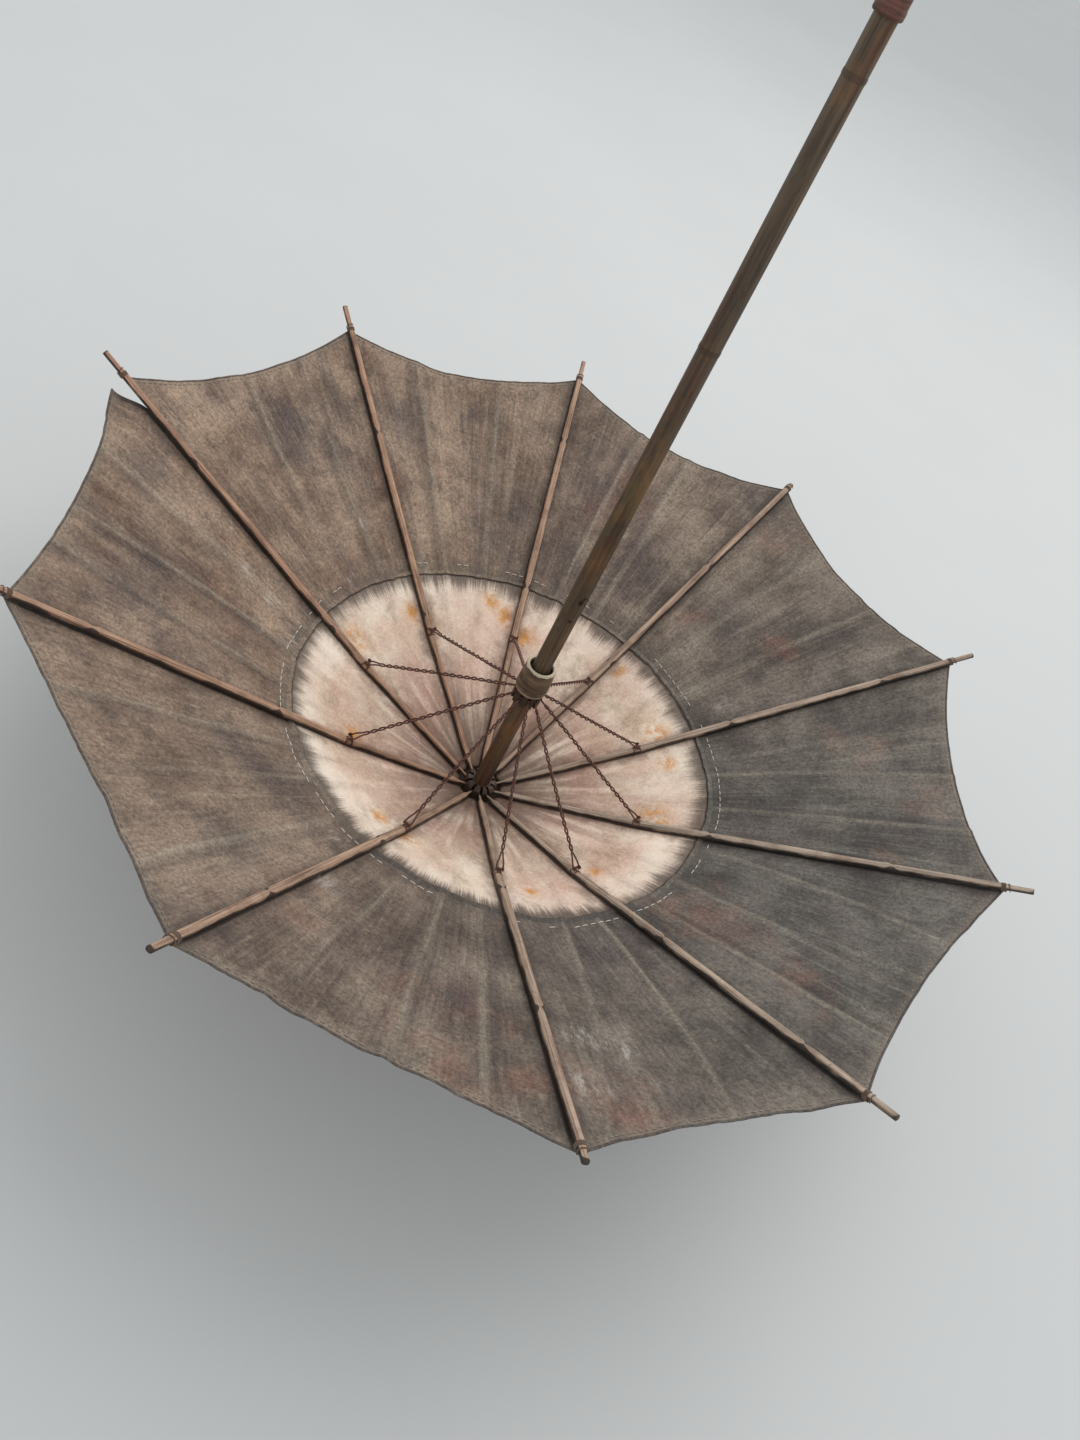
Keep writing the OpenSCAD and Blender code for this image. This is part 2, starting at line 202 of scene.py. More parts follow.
class Look:
    """A node material with short calls for the nodes it needs."""

    def __init__(self, name, roughness=0.7, specular=0.4, sheen=0.0, metallic=0.0):
        self.material = bpy.data.materials.new(name)
        self.material.use_nodes = True
        self.nodes = self.material.node_tree.nodes
        self.links = self.material.node_tree.links
        self.shader = self.nodes["Principled BSDF"]
        self.shader.inputs["Roughness"].default_value = roughness
        self.shader.inputs["Specular IOR Level"].default_value = specular
        self.shader.inputs["Metallic"].default_value = metallic
        self.shader.inputs["Sheen Weight"].default_value = sheen
        self.bumps = None

    def put(self, socket, value):
        if isinstance(value, bpy.types.NodeSocket):
            self.links.new(value, socket)
        elif isinstance(value, (int, float)) and socket.type in {"RGBA", "VECTOR"}:
            socket.default_value = (value,) * len(socket.default_value)
        else:
            socket.default_value = value

    def attribute(self, name, output="Vector"):
        node = self.nodes.new("ShaderNodeAttribute")
        node.attribute_name = name
        return node.outputs[output]

    def position(self):
        return self.nodes.new("ShaderNodeTexCoord").outputs["Object"]

    def scaled(self, vector, scale, offset=(0, 0, 0)):
        node = self.nodes.new("ShaderNodeMapping")
        self.put(node.inputs["Vector"], vector)
        node.inputs["Scale"].default_value = scale
        node.inputs["Location"].default_value = offset
        return node.outputs["Vector"]

    def part(self, vector, axis):
        node = self.nodes.new("ShaderNodeSeparateXYZ")
        self.put(node.inputs[0], vector)
        return node.outputs[axis]

    def noise(self, vector, scale=1.0, detail=4.0, roughness=0.55):
        node = self.nodes.new("ShaderNodeTexNoise")
        self.put(node.inputs["Vector"], vector)
        node.inputs["Scale"].default_value = scale
        node.inputs["Detail"].default_value = detail
        node.inputs["Roughness"].default_value = roughness
        return node.outputs["Fac"]

    def step(self, value, low, high, to_low=0.0, to_high=1.0):
        node = self.nodes.new("ShaderNodeMapRange")
        node.interpolation_type = "SMOOTHSTEP"
        self.put(node.inputs["Value"], value)
        node.inputs["From Min"].default_value = low
        node.inputs["From Max"].default_value = high
        node.inputs["To Min"].default_value = to_low
        node.inputs["To Max"].default_value = to_high
        return node.outputs["Result"]

    def near(self, vector, point, low, high):
        """1 within low of a point, falling to 0 at high."""
        node = self.nodes.new("ShaderNodeVectorMath")
        node.operation = "DISTANCE"
        self.put(node.inputs[0], vector)
        node.inputs[1].default_value = point
        return self.step(node.outputs["Value"], low, high, 1, 0)

    def math(self, operation, a, b=0.0):
        node = self.nodes.new("ShaderNodeMath")
        node.operation = operation
        self.put(node.inputs[0], a)
        self.put(node.inputs[1], b)
        return node.outputs[0]

    def mix(self, share, a, b, blend="MIX"):
        node = self.nodes.new("ShaderNodeMix")
        node.data_type = "RGBA"
        node.blend_type = blend
        self.put(node.inputs["Factor"], share)
        self.put(node.inputs[6], a)
        self.put(node.inputs[7], b)
        return node.outputs[2]

    def wave(self, vector, scale, direction):
        node = self.nodes.new("ShaderNodeTexWave")
        node.bands_direction = direction
        self.put(node.inputs["Vector"], vector)
        node.inputs["Scale"].default_value = scale
        return node.outputs["Fac"]

    def bump(self, height, strength, distance):
        node = self.nodes.new("ShaderNodeBump")
        node.inputs["Strength"].default_value = strength
        node.inputs["Distance"].default_value = distance
        self.put(node.inputs["Height"], height)
        if self.bumps is not None:
            self.put(node.inputs["Normal"], self.bumps)
        self.bumps = node.outputs["Normal"]

    def done(self, colour, roughness=None):
        self.put(self.shader.inputs["Base Color"], colour)
        if roughness is not None:
            self.put(self.shader.inputs["Roughness"], roughness)
        if self.bumps is not None:
            self.put(self.shader.inputs["Normal"], self.bumps)
        return self.material


def weave(look, flow, strength):
    """Fine over-and-under threads, about 1 mm apart."""
    warp = look.wave(flow, 320, "X")
    weft = look.wave(flow, 320, "Y")
    look.bump(look.math("MAXIMUM", warp, weft), strength, 0.0004)


def dark_cloth():
    look = Look("oiled_cloth", 0.72, 0.3)
    rest = look.attribute("rest")
    flow = look.attribute("flow")
    polar = look.attribute("polar")
    edges = look.attribute("edges")
    marks = look.attribute("marks")
    cool = look.attribute("cool", "Fac")
    stain = look.attribute("stain", "Fac")
    mottle = look.step(look.noise(look.scaled(rest, (13, 13, 13), (1, 4, 2)), 1, 6, 0.62), 0.3, 0.7)
    warm_cloth = look.mix(mottle, linear(106, 84, 70), linear(160, 136, 116))
    cool_cloth = look.mix(mottle, linear(66, 63, 60), linear(110, 104, 97))
    colour = look.mix(cool, warm_cloth, cool_cloth)
    dark_patches = look.step(look.noise(look.scaled(rest, (8, 8, 8), (3, 1, 2)), 1, 5, 0.65), 0.5, 0.68)
    colour = look.mix(look.math("MULTIPLY", dark_patches, 0.6), colour, linear(80, 68, 66))
    red_noise = look.noise(look.scaled(rest, (10, 10, 10), (7, 3, 5)), 1, 4, 0.6)
    red_patches = look.step(red_noise, 0.55, 0.72)
    colour = look.mix(look.math("MULTIPLY", red_patches, 0.45), colour, linear(142, 98, 82))
    colour = look.mix(look.math("MULTIPLY", stain, 0.6), colour, linear(66, 58, 60))
    # radial streaks and fine radial lines, pale and dark: painted light and shade of the cloth's radial
    # folds
    streaks = look.noise(look.scaled(polar, (17, 3.4, 1)), 1, 6, 0.65)
    pale_streak = look.mix(cool, linear(176, 156, 132), linear(138, 132, 120))
    colour = look.mix(look.step(streaks, 0.53, 0.76, 0, 0.5), colour, pale_streak)
    colour = look.mix(look.step(streaks, 0.48, 0.27, 0, 0.5), colour, linear(62, 53, 50))
    fine = look.noise(look.scaled(polar, (120, 16, 1)), 1, 5, 0.72)
    colour = look.mix(look.step(fine, 0.5, 0.72, 0.0, 0.3), colour, pale_streak)
    colour = look.mix(look.step(fine, 0.5, 0.3, 0.0, 0.35), colour, linear(56, 49, 46))
    crumple = look.noise(look.scaled(rest, (38, 38, 38), (5, 5, 1)), 1, 7, 0.78)
    colour = look.mix(look.step(crumple, 0.5, 0.68, 0.0, 0.5), colour, linear(64, 56, 52))
    colour = look.mix(look.step(crumple, 0.48, 0.32, 0.0, 0.3), colour, pale_streak)
    # painted highlight on the creases' crests and painted shade on their flanks
    crest = look.math("MULTIPLY", look.part(marks, 0), look.step(fine, 0.25, 0.6, 0.45, 1))
    colour = look.mix(look.math("MULTIPLY", crest, 0.5), colour, linear(160, 150, 132))
    colour = look.mix(look.math("MULTIPLY", look.part(marks, 1), 0.42), colour, linear(58, 52, 50))
    grain = look.noise(rest, 330, 4, 0.8)
    colour = look.mix(0.8, colour, look.mix(look.step(grain, 0.3, 0.7), 0.26, 0.76), "OVERLAY")
    # painted shade along the ribs: a soft dark band, partly dirt, and a thin dark shadow line beside
    # each rib
    ragged = look.step(look.noise(rest, 45, 4), 0.3, 0.7, -0.004, 0.007)
    near_rib = look.math("ADD", look.part(edges, 0), ragged)
    colour = look.mix(look.step(near_rib, 0.020, 0.002, 0, 0.5), colour, linear(56, 48, 45))
    colour = look.mix(look.step(look.part(edges, 0), 0.0052, 0.0038, 0, 0.7), colour, linear(26, 22, 21))
    near_seam = look.math("ADD", look.part(edges, 2), look.step(fine, 0.3, 0.7, -0.006, 0.006))
    colour = look.mix(look.step(near_seam, 0.020, 0.004, 0, 0.45), colour, linear(84, 78, 72))
    chalk = look.step(look.noise(look.scaled(polar, (55, 45, 1), (3, 3, 3)), 1, 7, 0.8), 0.47, 0.66)
    dust = look.math("MULTIPLY", look.part(marks, 2), chalk)
    colour = look.mix(look.math("MINIMUM", dust, 0.6), colour, linear(186, 180, 170))
    hem_wear = look.step(look.part(edges, 1), 0.012, 0.002, 0, 0.25)
    colour = look.mix(hem_wear, colour, linear(150, 138, 124))
    colour = look.mix(look.step(look.part(edges, 1), 0.0012, 0.0, 0, 0.8), colour, linear(44, 38, 36))
    weave(look, flow, 0.06)
    look.bump(look.noise(look.scaled(polar, (26, 10, 1)), 1, 6, 0.65), 0.7, 0.0026)
    look.bump(look.noise(rest, 160, 5, 0.7), 0.5, 0.0008)
    rough = look.step(look.noise(rest, 30, 3), 0.3, 0.7, 0.6, 0.82)
    return look.done(colour, rough)


def pale_cloth():
    look = Look("patch_cloth", 0.8, 0.25)
    rest = look.attribute("rest")
    flow = look.attribute("flow")
    polar = look.attribute("polar")
    edges = look.attribute("edges")
    marks = look.attribute("marks")
    stain = look.attribute("stain", "Fac")
    warm = look.step(look.noise(look.scaled(rest, (15, 15, 15), (2, 2, 5)), 1, 5, 0.6), 0.35, 0.65)
    colour = look.mix(warm, linear(214, 186, 164), linear(246, 228, 208))
    blush = look.step(look.noise(look.scaled(rest, (10, 10, 10), (4, 7, 1)), 1, 4), 0.42, 0.66)
    colour = look.mix(look.math("MULTIPLY", blush, 0.5), colour, linear(206, 160, 146))
    streaks = look.noise(look.scaled(polar, (9, 10, 1)), 1, 6, 0.62)
    inward = look.step(look.part(polar, 1), 0.20, 0.08)
    dirt = look.math("MULTIPLY", inward, look.step(streaks, 0.32, 0.56))
    colour = look.mix(look.math("MULTIPLY", dirt, 0.7), colour, linear(140, 108, 94))
    deep = look.step(look.part(polar, 1), 0.12, 0.02, 0, 0.8)
    colour = look.mix(deep, colour, linear(84, 62, 52))
    pale_ring = look.step(look.part(edges, 2), 0.045, 0.02, 0, 0.35)
    colour = look.mix(pale_ring, colour, linear(232, 220, 204))
    smudge = look.step(look.noise(look.scaled(rest, (24, 24, 24), (1, 5, 2)), 1, 6, 0.7), 0.5, 0.68)
    colour = look.mix(look.math("MULTIPLY", smudge, 0.5), colour, linear(154, 130, 106))
    # painted shade on the creases' flanks (the marks' second value)
    crest = look.math("MULTIPLY", look.part(marks, 1), 0.35)
    colour = look.mix(crest, colour, linear(120, 90, 76))
    rust_mask = look.math("MULTIPLY", stain, look.step(look.noise(rest, 80, 5, 0.75), 0.36, 0.56))
    colour = look.mix(look.math("MINIMUM", rust_mask, 0.85), colour, linear(208, 140, 62))
    # painted shade along the ribs: a soft brown band, partly dirt, and a thin dark shadow line beside
    # each rib
    ragged = look.step(look.noise(rest, 60, 4), 0.3, 0.7, -0.005, 0.008)
    near_rib = look.math("ADD", look.part(edges, 0), ragged)
    colour = look.mix(look.step(near_rib, 0.020, 0.0, 0, 0.6), colour, linear(112, 86, 74))
    colour = look.mix(look.step(look.part(edges, 0), 0.0052, 0.0038, 0, 0.7), colour, linear(44, 32, 28))
    # dark frayed fringe along the seam, which also paints the shade in the crack between the patch and
    # the seam fold
    hair_noise = look.noise(look.scaled(polar, (260, 14, 1)), 1, 4, 0.75)
    hairs = look.step(hair_noise, 0.35, 0.65, 0.005, -0.005)
    waves = look.step(look.noise(look.scaled(polar, (14, 1, 1)), 1, 3), 0.3, 0.7, -0.005, 0.004)
    reach = look.math("ADD", look.part(edges, 2), look.math("ADD", hairs, waves))
    colour = look.mix(look.step(reach, 0.017, 0.001, 0, 0.9), colour, linear(88, 76, 68))
    grain = look.noise(rest, 330, 4, 0.8)
    colour = look.mix(0.5, colour, look.mix(look.step(grain, 0.3, 0.7), 0.32, 0.7), "OVERLAY")
    weave(look, flow, 0.25)
    look.bump(look.noise(look.scaled(polar, (14, 12, 1)), 1, 6, 0.6), 0.7, 0.003)
    look.bump(look.noise(rest, 180, 5, 0.65), 0.45, 0.0007)
    return look.done(colour)


def rib_bamboo():
    """Split cane: long fibres, cracks and blotches, greyer on the weathered side, painted shade on its
    sides and underside.
    """
    look = Look("rib_bamboo", 0.55, 0.35)
    place = look.attribute("flow")
    cool = look.attribute("cool", "Fac")
    edge = look.attribute("edge", "Fac")
    fibres = look.noise(look.scaled(place, (750, 13, 750)), 1, 6, 0.7)
    warm_cane = look.mix(look.step(fibres, 0.3, 0.7), linear(114, 80, 62), linear(200, 158, 128))
    grey_cane = look.mix(look.step(fibres, 0.3, 0.7), linear(114, 98, 86), linear(198, 178, 158))
    colour = look.mix(cool, warm_cane, grey_cane)
    blotches = look.step(look.noise(place, 24, 6, 0.7), 0.46, 0.66)
    colour = look.mix(look.math("MULTIPLY", blotches, 0.5), colour, linear(104, 76, 62))
    cracks = look.step(look.noise(look.scaled(place, (520, 7, 520), (0.2, 5, 0)), 1, 3, 0.5), 0.36, 0.27)
    colour = look.mix(look.math("MULTIPLY", cracks, 0.85), colour, linear(34, 25, 22))
    # painted shade on the rib's sides and underside; the dark nodes and the weathered tip cut use the
    # same mask
    side_shade_and_wear = look.math("ADD", edge, look.step(look.noise(place, 28, 4), 0.3, 0.7, -0.14, 0.14))
    colour = look.mix(look.step(side_shade_and_wear, 0.74, 1.0, 0, 0.92), colour, linear(44, 33, 28))
    specks = look.step(look.noise(place, 260, 5, 0.75), 0.56, 0.7, 0, 0.5)
    colour = look.mix(specks, colour, linear(70, 52, 42))
    look.bump(fibres, 0.7, 0.0008)
    look.bump(look.math("SUBTRACT", 1.0, cracks), 0.6, 0.0006)
    return look.done(colour, look.step(blotches, 0, 1, 0.48, 0.7))


def pole_wood():
    look = Look("pole_bamboo", 0.48, 0.4)
    place = look.position()
    fibres = look.noise(look.scaled(place, (260, 260, 9)), 1, 6, 0.65)
    colour = look.mix(look.step(fibres, 0.3, 0.7), linear(54, 42, 33), linear(102, 84, 64))
    bands = look.noise(look.scaled(place, (16, 16, 8), (2, 5, 1)), 1, 5, 0.62)
    colour = look.mix(look.step(bands, 0.5, 0.66, 0, 0.7), colour, linear(138, 98, 58))
    colour = look.mix(look.step(bands, 0.47, 0.33, 0, 0.7), colour, linear(50, 40, 34))
    red = look.noise(look.scaled(place, (40, 40, 10), (9, 1, 4)), 1, 5, 0.6)
    colour = look.mix(look.step(red, 0.52, 0.7, 0, 0.55), colour, linear(106, 58, 40))
    green = look.noise(look.scaled(place, (50, 50, 16), (3, 8, 6)), 1, 4, 0.6)
    colour = look.mix(look.step(green, 0.54, 0.7, 0, 0.45), colour, linear(84, 84, 56))
    specks = look.step(look.noise(look.scaled(place, (300, 300, 70)), 1, 5, 0.75), 0.55, 0.7, 0, 0.65)
    colour = look.mix(specks, colour, linear(40, 33, 28))
    height = look.part(place, 2)
    for node_height in (0.5675, 0.7555):
        gap = look.math("ABSOLUTE", look.math("SUBTRACT", height, node_height))
        colour = look.mix(look.step(gap, 0.003, 0.001, 0, 0.45), colour, linear(48, 36, 30))
    # pits, each painted near-black: painted shade inside the pit, over a shallow bumped dent
    for z, turn, size in ((0.320, 2.15, 0.0022), (0.325, 2.35, 0.0014), (0.297, 2.0, 0.0013)):
        pit = (pole_r * math.cos(turn), pole_r * math.sin(turn), z)
        ragged = look.scaled(place, (1, 1, 0.7), (0, 0, 0.3 * z))
        mask = look.near(ragged, pit, size * 0.7, size * 1.4)
        colour = look.mix(look.math("MULTIPLY", mask, 0.92), colour, linear(20, 16, 14))
        look.bump(look.math("SUBTRACT", 1.0, mask), 0.8, 0.001)
    look.bump(fibres, 0.6, 0.0008)
    look.bump(look.noise(place, 140, 5), 0.4, 0.0005)
    return look.done(colour, look.step(bands, 0.3, 0.7, 0.4, 0.62))


def turned_wood(name, low, high, ring_height=None):
    """Lathe-turned wood with a dirty patina.

    ring_height, for the runner only, is its ring wire's height: its top rim and its lip are paler
    and it is darker from its neck down.
    """
    look = Look(name, 0.55, 0.35)
    place = look.position()
    rings = look.noise(look.scaled(place, (30, 30, 420)), 1, 3, 0.6)
    colour = look.mix(look.step(rings, 0.3, 0.7), low, high)
    dirt = look.step(look.noise(place, 90, 5, 0.65), 0.45, 0.68)
    colour = look.mix(look.math("MULTIPLY", dirt, 0.55), colour, linear(52, 42, 34))
    if ring_height:
        ragged = look.step(look.noise(place, 300, 3), 0.3, 0.7, -0.0006, 0.0006)
        height = look.math("ADD", look.part(place, 2), ragged)
        rim = look.step(height, ring_height + 0.0352, ring_height + 0.0360, 0, 0.85)
        colour = look.mix(rim, colour, linear(200, 184, 160))
        lip = look.math("ABSOLUTE", look.math("SUBTRACT", height, ring_height + 0.0078))
        colour = look.mix(look.step(lip, 0.0018, 0.0006, 0, 0.75), colour, linear(186, 168, 144))
        neck = look.step(height, ring_height + 0.0064, ring_height + 0.0050, 0, 0.8)
        colour = look.mix(neck, colour, linear(40, 31, 27))
    look.bump(rings, 0.4, 0.0005)
    look.bump(look.noise(place, 200, 4), 0.25, 0.0003)
    return look.done(colour, look.step(dirt, 0, 1, 0.48, 0.68))


def rusty_iron(name="iron_wire"):
    look = Look(name, 0.6, 0.4, metallic=0.35)
    place = look.position()
    colour = look.mix(look.noise(place, 300, 4, 0.6), linear(52, 32, 32), linear(112, 74, 62))
    rust = look.step(look.noise(place, 120, 5, 0.7), 0.5, 0.66)
    colour = look.mix(look.math("MULTIPLY", rust, 0.6), colour, linear(122, 70, 48))
    look.bump(look.noise(place, 900, 4, 0.7), 0.5, 0.0003)
    return look.done(colour, look.step(rust, 0, 1, 0.45, 0.8))


def thread(name, low, high):
    look = Look(name, 0.85, 0.2, sheen=0.2)
    place = look.position()
    colour = look.mix(look.noise(place, 260, 4, 0.6), low, high)
    look.bump(look.noise(place, 1500, 2), 0.4, 0.0002)
    return look.done(colour)


def leather():
    look = Look("washer_leather", 0.7, 0.3)
    place = look.position()
    colour = look.mix(look.noise(place, 60, 5, 0.6), linear(60, 48, 40), linear(104, 86, 70))
    look.bump(look.noise(place, 700, 4, 0.6), 0.6, 0.0005)
    return look.done(colour)


def spring_steel():
    look = Look("spring_steel", 0.45, 0.5, metallic=0.8)
    place = look.position()
    colour = look.mix(look.noise(place, 240, 5, 0.7), linear(52, 46, 42), linear(122, 112, 102))
    look.bump(look.noise(place, 800, 3), 0.4, 0.0002)
    return look.done(colour)


cloth_look = dark_cloth()
patch_look = pale_cloth()
rib_look = rib_bamboo()
pole_look = pole_wood()
wire_look = rusty_iron()
hub_look = turned_wood("crown_wood", linear(46, 36, 30), linear(84, 64, 50))
runner_look = turned_wood("runner_wood", linear(74, 58, 44), linear(122, 102, 82), runner_z)
handle_look = turned_wood("handle_wood", linear(84, 52, 44), linear(124, 80, 68))
hem_look = thread("hem_thread", linear(96, 84, 74), linear(176, 164, 148))
stitch_look = thread("stitch_thread", linear(196, 186, 172), linear(236, 230, 220))
tie_look = thread("tie_thread", linear(70, 54, 44), linear(120, 96, 78))

for node, look in (
    ("pole", pole_look),
    ("handle_grip", handle_look),
    ("crown_hub", hub_look),
    ("crown_tip", handle_look),
    ("crown_washer", leather()),
    ("hub_ring_wire", wire_look),
    ("runner_ring_wire", wire_look),
    ("catch_pin", wire_look),
    ("catch_leaf", spring_steel()),
    ("runner_collar", runner_look),
):
    slots = frame["nodes"][node].material_slots
    if slots:
        for slot in slots:
            slot.link = "OBJECT"
            slot.material = look
    else:
        frame["nodes"][node].data.materials.append(look)


# ---------------------------------------------------------------- cloth
# creases: gore, side at the seam, side at the hem, height in mm, half width in mm
CREASES = [
    (1, 0.30, 0.00, 1.3, 3.0), (1, -0.45, -0.50, 0.8, 4.0),
    (2, -0.24, -0.32, 1.2, 3.0), (2, 0.40, 0.42, 0.9, 4.0),
    (3, -0.24, -0.16, 1.1, 3.5), (3, 0.45, 0.30, 1.2, 3.0),
    (4, -0.20, -0.28, 1.1, 3.5), (4, 0.45, 0.35, 1.0, 5.0),
    (5, 0.22, 0.00, 1.4, 3.0), (5, -0.40, -0.48, 1.5, 3.0),
    (6, 0.80, 0.40, 1.2, 3.0), (6, 0.05, -0.10, 1.2, 3.5), (6, -0.55, -0.5, 0.8, 3.0),
    (7, -0.04, -0.76, 1.3, 3.0), (7, 0.56, 0.16, 1.3, 3.0),
    (8, 0.12, 0.08, 1.2, 3.5), (8, -0.40, -0.55, 1.0, 3.0), (8, 0.62, 0.58, 0.9, 4.0),
    (9, -0.08, 0.00, 1.4, 3.0), (9, 0.50, 0.55, 1.0, 4.0), (9, -0.55, -0.50, 0.8, 3.0),
    (10, -0.16, 0.08, 1.5, 3.0), (10, 0.44, 0.40, 1.3, 3.0), (10, -0.60, -0.45, 0.7, 4.0),
]
# chalky scuffs: gore, radius, side, size in mm
SCUFFS = [
    (8, 0.302, -0.88, 11), (7, 0.374, -0.48, 13), (7, 0.390, -0.28, 10), (7, 0.366, -0.72, 9),
    (10, 0.298, -0.64, 7), (10, 0.270, -0.52, 6), (2, 0.226, 0.92, 9), (9, 0.322, -0.72, 7),
    (1, 0.286, -0.44, 8), (10, 0.306, 0.72, 8), (7, 0.418, -0.76, 14), (10, 0.240, -0.30, 9),
    (1, 0.240, 0.10, 8), (9, 0.250, 0.75, 9), (6, 0.40, 0.1, 6), (4, 0.26, -0.6, 7),
]
# dark blotches: gore, radius, side, size in mm
BLOTCHES = [
    (1, 0.406, -0.08, 34), (10, 0.378, 0.10, 26), (2, 0.382, 0.68, 24), (5, 0.418, -0.48, 11),
    (4, 0.330, 0.35, 28), (3, 0.300, -0.60, 26), (10, 0.41, -0.62, 24), (9, 0.36, 0.55, 24),
    (8, 0.36, 0.45, 28), (6, 0.30, -0.35, 26), (2, 0.30, -0.65, 22), (7, 0.27, 0.1, 20),
    (9, 0.275, 0.10, 34), (9, 0.30, -0.35, 26),
]
# rust on the patch: gore, radius, side, size in mm
RUST = [
    (1, 0.186, 0.72, 12), (2, 0.186, -0.72, 11), (3, 0.170, 0.72, 12), (2, 0.202, -0.40, 9),
    (4, 0.186, -0.76, 14), (4, 0.195, 0.80, 9), (5, 0.178, -0.72, 15), (1, 0.186, -0.76, 9),
    (8, 0.166, -0.84, 10), (10, 0.154, 0.72, 10), (5, 0.190, 0.55, 8), (6, 0.170, -0.6, 7),
    (7, 0.180, -0.3, 6), (9, 0.175, 0.6, 9),
]


class Gore:
    """The cloth between rib i and the next one, and how a point on it is found."""

    def __init__(self, i):
        self.i = i
        self.middle = (rib_angle(i) + next_angle(i)) / 2
        self.spread = (rib_angle(i) - next_angle(i)) / 2
        self.radial = Vector((math.cos(self.middle), math.sin(self.middle), 0))
        self.across = Vector((-math.sin(self.middle), math.cos(self.middle), 0))
        self.normal = Vector((0, 0, math.cos(outer_slope))) - self.radial * math.sin(outer_slope)
        self.hinge = self.radial * ring_r + Vector((0, 0, crown_z))
        self.body = f"panel_{i}_body"
        self.joint = f"panel_{i}_fold"
        self.creases = [c[1:] for c in CREASES if c[0] == i]

    def hem_line(self, side):
        """Radius of the hem at a side."""
        here, beyond = HEM_SHIFT[self.i - 1], HEM_SHIFT[self.i % RIBS]
        return HEM_R + here * (1 + side) / 2 + beyond * (1 - side) / 2

    def round_line(self, r, side):
        """The row parameter of a point at radius r from the pole's axis."""
        return r / math.hypot(math.cos(self.spread), side * math.sin(self.spread))

    def crease_marks(self, r, side):
        """(height in mm, crest, flank) of the creases at a point."""
        height = crest = flank = 0.0
        share = (r - SEAM_R) / (HEM_R - SEAM_R)
        reach = smooth(-0.45, 0.1, share)
        for seam_side, hem_side, tall, half in self.creases:
            line = seam_side + (hem_side - seam_side) * share
            line += 0.012 * wobble(r * 14, seam_side * 9, self.i)
            gap = (side - line) * r * math.sin(self.spread) / (half * MM)
            fade = reach * (0.65 + 0.6 * wobble(r * 9, hem_side * 7, self.i + 0.5))
            height += tall * fade * (math.exp(-gap * gap) - 0.5 * math.exp(-((gap - 2.4) / 1.7) ** 2))
            crest += fade * math.exp(-((gap / 0.9) ** 2))
            flank += fade * math.exp(-((gap - 2.0) / 1.4) ** 2)
        return height, min(1.0, max(0.0, crest)), min(1.0, max(0.0, flank))

    def surface(self, r, side, depth):
        """A point of the cloth's upper face; side runs from -1 at the next rib to 1 at rib i."""
        bow = 1 - side * side
        out = max(0.0, (r - SEAM_R) / (HEM_R - SEAM_R))
        pull = SCALLOP * bow * out**4
        sag = SAG * bow * (r / HEM_R) ** 1.5
        angle = side * self.spread
        x = r * math.cos(self.spread) - pull
        y = side * r * math.sin(self.spread)
        z = rib_line(r) - depth / math.cos(outer_slope) - sag - pull * math.tan(outer_slope)
        free = (1 - side**4) * smooth(0.02, 0.12, r)
        seed = self.i * 3.7
        folds = 2.4 * wobble(angle * 9, r * 2.2, seed) + 1.2 * wobble(angle * 24, r * 3.0, seed + 9)
        folds += 0.6 * wobble(angle * 60, r * 9.0, seed + 4) + 1.4 * wobble(angle * 5, r * 9, seed + 2)
        flutter = 1.4 * wobble(angle * 22, 0.3, seed + 6) * smooth(0.30, 0.45, r)
        lift = folds * (0.5 + 0.7 * out) + flutter + self.crease_marks(r, side)[0]
        point = self.radial * x + self.across * y + Vector((0, 0, z))
        point += self.normal * min(lift * free * MM, 0.004)
        if self.i == RIBS:
            loose = smooth(0.428, 0.462, r) * smooth(-0.45, -1.0, side)
            point += (self.across * 0.018 - self.normal * 0.004) * loose
        return point

    def settle(self, obj, keep=0.065):
        """Rides on the panel's body."""
        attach(obj, self.body)
        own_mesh(obj)


gores = [Gore(i) for i in range(1, RIBS + 1)]


def spots(table, depth):
    """The places and sizes, in metres, of a table of marks on the cloth."""
    return [(gores[g - 1].surface(r, side, depth), size * MM) for g, r, side, size in table]


COOL_FROM = rib_angle(6) - 0.1 + math.pi
scuff_spots = spots(SCUFFS, CANOPY_DEPTH)
blotch_spots = spots(BLOTCHES, CANOPY_DEPTH)
rust_spots = spots(RUST, PATCH_DEPTH)


def spotted(point, places):
    """How strongly the marks at some places show at a point, from 0 to 1."""
    total = 0.0
    for centre, size in places:
        gap = (point - centre).length
        if gap < 3 * size:
            total += math.exp(-((gap / size) ** 2))
    return min(1.0, total)


def coolness(x, y):
    """0 on the warm brown side of the canopy, 1 on its weathered grey side."""
    return (0.5 - 0.5 * math.cos(math.atan2(y, x) - COOL_FROM)) ** 1.2


